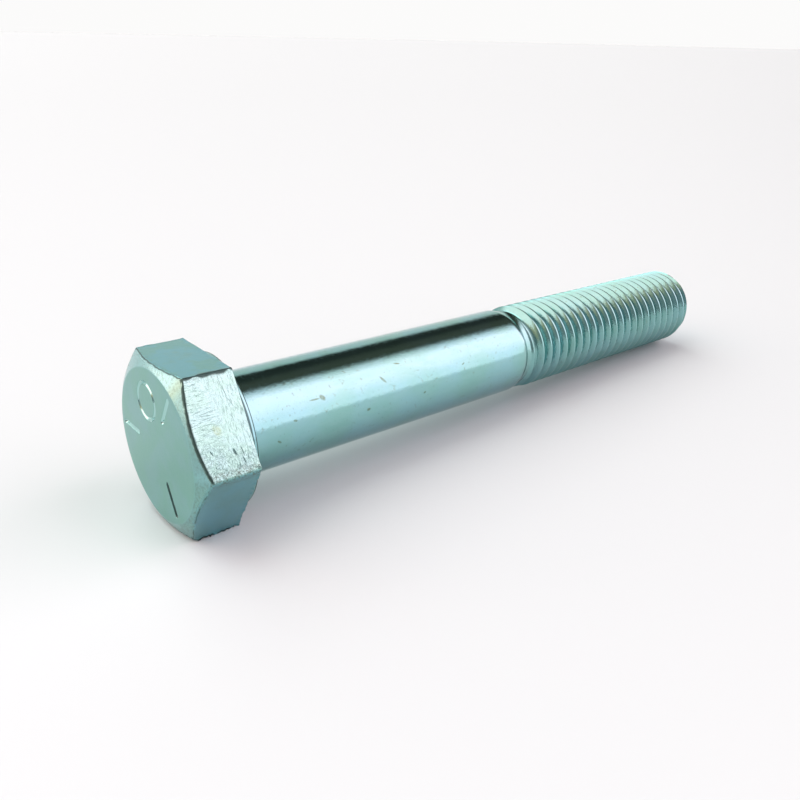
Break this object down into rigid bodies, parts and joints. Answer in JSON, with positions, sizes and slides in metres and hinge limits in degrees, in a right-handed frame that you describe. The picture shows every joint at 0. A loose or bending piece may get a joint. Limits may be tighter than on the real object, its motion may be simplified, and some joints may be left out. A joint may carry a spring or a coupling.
{
  "type": "hex bolt",
  "caption": "Steel hex bolt lying on its side: chamfered hexagonal head with a washer face, long plain shank, coarse thread and chamfered point, bright zinc finish.",
  "frame": {"origin": "centre of the head's top face, on the bolt's axis", "axes": "+X down the axis from the head to the threaded point, +Z normal to one wrench flat, +Y towards one corner of the hexagon"},
  "size_m": [0.1235, 0.0274, 0.0238],
  "materials": {
    "zinc_plate": "bright zinc plating over forged steel, cool blue-green cast, lightly scuffed"
  },
  "bodies": {
    "root": {"hex_bolt": "zinc_plate"}
  },
  "joints": []
}
